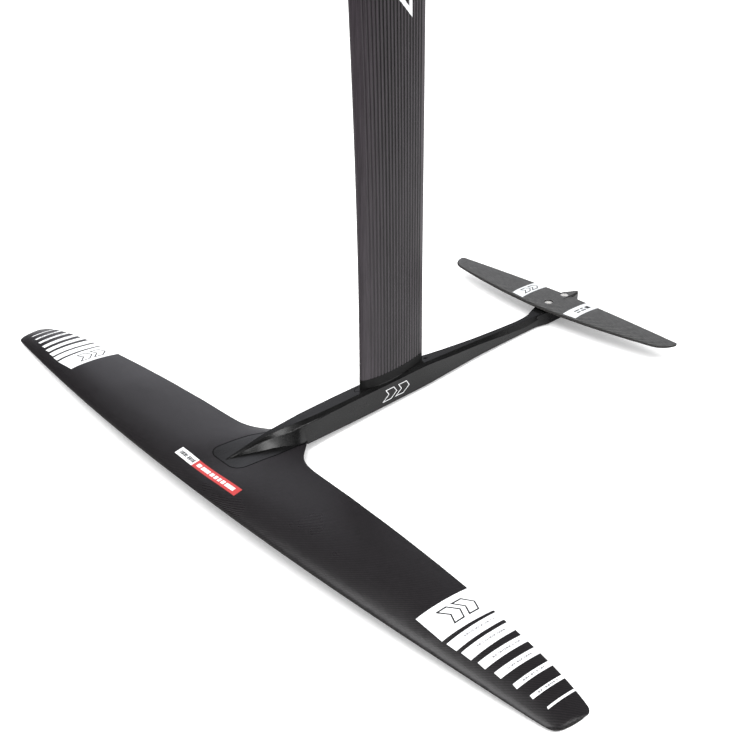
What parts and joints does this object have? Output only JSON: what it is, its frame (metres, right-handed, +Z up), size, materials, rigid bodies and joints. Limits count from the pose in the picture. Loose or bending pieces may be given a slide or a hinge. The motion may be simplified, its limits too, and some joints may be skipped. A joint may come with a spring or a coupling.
{
  "type": "hydrofoil",
  "caption": "Board hydrofoil with a wide front wing, slim fuselage, ribbed mast, bolt-on base plate and small rear wing.",
  "frame": {"origin": "centre of the four board-bolt slots, on the top face of the base plate", "axes": "+Z up out of the base plate towards the board, -Y forward towards the front wing, +X to port along the front wing's span"},
  "size_m": [0.999, 0.688, 0.8158],
  "materials": {
    "carbon_weave": "fine twill carbon under a satin clear coat",
    "foam": "closed-cell structural foam",
    "hull_black": "satin black",
    "mast_black": "satin black ribbed carbon",
    "plate_black": "black anodised aluminium",
    "block_aluminium": "machined",
    "screw_steel": "stainless steel",
    "bushing_steel": "stainless steel",
    "insert_steel": "stainless thread insert",
    "shim_black": "moulded nylon"
  },
  "bodies": {
    "root": {"front_wing": "carbon_weave", "front_wing_core_port": "foam", "front_wing_core_starboard": "foam", "front_wing_cups": "bushing_steel", "front_wing_screws": "screw_steel", "front_wing_inserts": "insert_steel", "fuselage": "hull_black", "mast": "mast_black", "mast_foam_fore": "foam", "mast_foam_middle": "foam", "mast_foam_aft": "foam", "mast_foot_block": "block_aluminium", "mast_foot_inserts": "insert_steel", "mast_foot_screws": "screw_steel", "mast_head_block": "block_aluminium", "mast_head_inserts": "insert_steel", "mast_head_screws": "screw_steel", "base_plate": "plate_black", "rear_wing": "carbon_weave", "rear_wing_shim": "shim_black", "rear_wing_cups": "bushing_steel", "rear_wing_screws": "screw_steel", "rear_wing_inserts": "insert_steel"}
  },
  "joints": []
}
